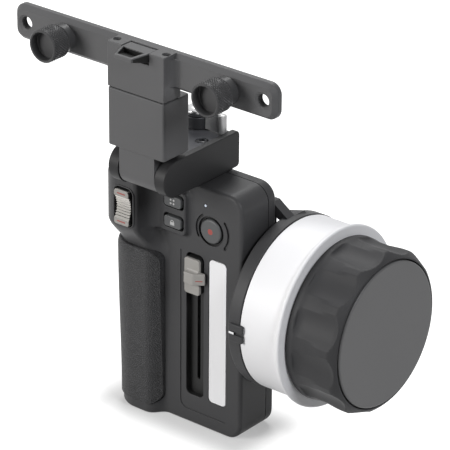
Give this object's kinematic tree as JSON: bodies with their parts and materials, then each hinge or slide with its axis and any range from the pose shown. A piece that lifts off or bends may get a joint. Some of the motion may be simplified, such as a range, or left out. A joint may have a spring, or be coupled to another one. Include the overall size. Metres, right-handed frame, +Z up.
{
  "type": "lens focus controller",
  "caption": "Hand-held lens focus controller with a fluted focus wheel, white marking ring, iris slider, grip, zoom rocker and a tilting monitor bar.",
  "frame": {"origin": "middle of the flat base of the body", "axes": "+Z up, the control panel faces -Y, +X runs to the side that carries the focus wheel"},
  "size_m": [0.1716, 0.1062, 0.1893],
  "materials": {
    "housing": "satin charcoal, fine grain",
    "rear_shell": "satin charcoal, fine grain",
    "rubber": "matt, leather grain",
    "wheel_plastic": "matt dark grey",
    "white_ring": "matt, can be written on",
    "white_strip": "matt, can be written on",
    "control_grey": "satin warm grey",
    "keys": "satin charcoal",
    "black_metal": "satin black anodised",
    "knurled_metal": "satin black anodised",
    "dark_steel": "blackened",
    "bright_steel": "ground",
    "bright_aluminium": "bead blasted",
    "board": "glass fibre board",
    "battery": "wrapped cell",
    "black_plastic": "matt black",
    "gear_plastic": "moulded, natural",
    "light_lens": "frosted"
  },
  "bodies": {
    "hand_unit": {"front_housing": "housing", "rear_housing": "rear_shell", "grip_skin": "rubber", "battery_door": "rear_shell", "battery_pack": "battery", "main_board": "board", "key_board": "board", "marking_strip": "white_strip", "status_light": "light_lens", "slider_track": "bright_steel", "rocker_pin": "bright_steel", "rocker_switch": "black_plastic", "housing_screw_1": "dark_steel", "housing_screw_2": "dark_steel", "housing_screw_3": "dark_steel", "housing_screw_4": "dark_steel", "knob_shroud": "housing", "index_mark": "bright_steel", "encoder_body": "black_plastic", "bearing_inner": "bright_steel", "bearing_outer": "bright_steel", "bracket_screw_1": "dark_steel", "bracket_screw_2": "dark_steel", "hinge_arm": "black_metal", "hinge_pin": "dark_steel", "mount_plate": "dark_steel", "plate_screw": "dark_steel", "lock_post": "dark_steel"},
    "wheel": {"focus_wheel": "wheel_plastic", "wheel_cap": "housing", "marking_ring": "white_ring", "wheel_shaft": "bright_steel", "drive_gear": "gear_plastic"},
    "encoder_rotor": {"encoder_gear": "gear_plastic"},
    "slider": {"iris_slider": "control_grey", "slider_carriage": "black_plastic"},
    "rocker": {"zoom_rocker": "control_grey"},
    "multi_key": {"multi_button": "keys"},
    "lock_key": {"lock_button": "keys"},
    "record_key": {"record_button": "keys"},
    "lever": {"clamp_lever": "bright_aluminium"},
    "tilt_head": {"tilt_block": "black_metal", "monitor_bar": "black_metal", "bar_bolt_1": "dark_steel", "bar_bolt_2": "dark_steel", "tab_pin": "dark_steel"},
    "latch": {"release_tab": "black_metal"},
    "left_thumb_screw": {"thumb_screw_left": "knurled_metal"},
    "right_thumb_screw": {"thumb_screw_right": "knurled_metal"}
  },
  "joints": [
    {"name": "focus_wheel_turn", "type": "hinge", "parent": "hand_unit", "child": "wheel", "pos_m": [0.06765, 0.01844, 0.0636], "axis": [1, 0, 0], "continuous": true},
    {"name": "encoder_gear_turn", "type": "hinge", "parent": "hand_unit", "child": "encoder_rotor", "pos_m": [0.06265, 0.01844, 0.04075], "axis": [1, 0, 0], "continuous": true},
    {"name": "iris_slide", "type": "slide", "parent": "hand_unit", "child": "slider", "axis": [0, 0, -1], "range_m": [0, 0.0495]},
    {"name": "zoom_rock", "type": "hinge", "parent": "hand_unit", "child": "rocker", "pos_m": [-0.02045, -0.0194, 0.1053], "axis": [1, 0, 0], "range_deg": [-6, 6], "stiffness_Nm_per_rad": 0.05},
    {"name": "multi_press", "type": "slide", "parent": "hand_unit", "child": "multi_key", "axis": [0, 1, 0], "range_m": [0, 0.0008], "stiffness_N_per_m": 800},
    {"name": "lock_press", "type": "slide", "parent": "hand_unit", "child": "lock_key", "axis": [0, 1, 0], "range_m": [0, 0.0008], "stiffness_N_per_m": 800},
    {"name": "record_press", "type": "slide", "parent": "hand_unit", "child": "record_key", "axis": [0, 1, 0], "range_m": [0, 0.0008], "stiffness_N_per_m": 800},
    {"name": "clamp_lever_swing", "type": "hinge", "parent": "hand_unit", "child": "lever", "pos_m": [-0.00555, 0.0097, 0.1369], "axis": [0, 0, -1], "range_deg": [0, 90]},
    {"name": "screen_tilt", "type": "hinge", "parent": "hand_unit", "child": "tilt_head", "pos_m": [-0.0018, -0.0278, 0.1305], "axis": [1, 0, 0], "range_deg": [0, 90]},
    {"name": "latch_press", "type": "hinge", "parent": "tilt_head", "child": "latch", "pos_m": [-0.00185, -0.0326, 0.18715], "axis": [1, 0, 0], "range_deg": [0, 8], "stiffness_Nm_per_rad": 0.2},
    {"name": "left_thumb_screw_turn", "type": "hinge", "parent": "tilt_head", "child": "left_thumb_screw", "pos_m": [-0.04705, -0.03, 0.1811], "axis": [0, 1, 0], "continuous": true},
    {"name": "right_thumb_screw_turn", "type": "hinge", "parent": "tilt_head", "child": "right_thumb_screw", "pos_m": [0.04345, -0.03, 0.1811], "axis": [0, 1, 0], "continuous": true}
  ],
  "couplings": [
    {"joint": "encoder_gear_turn", "follows": "focus_wheel_turn", "ratio": -2}
  ]
}
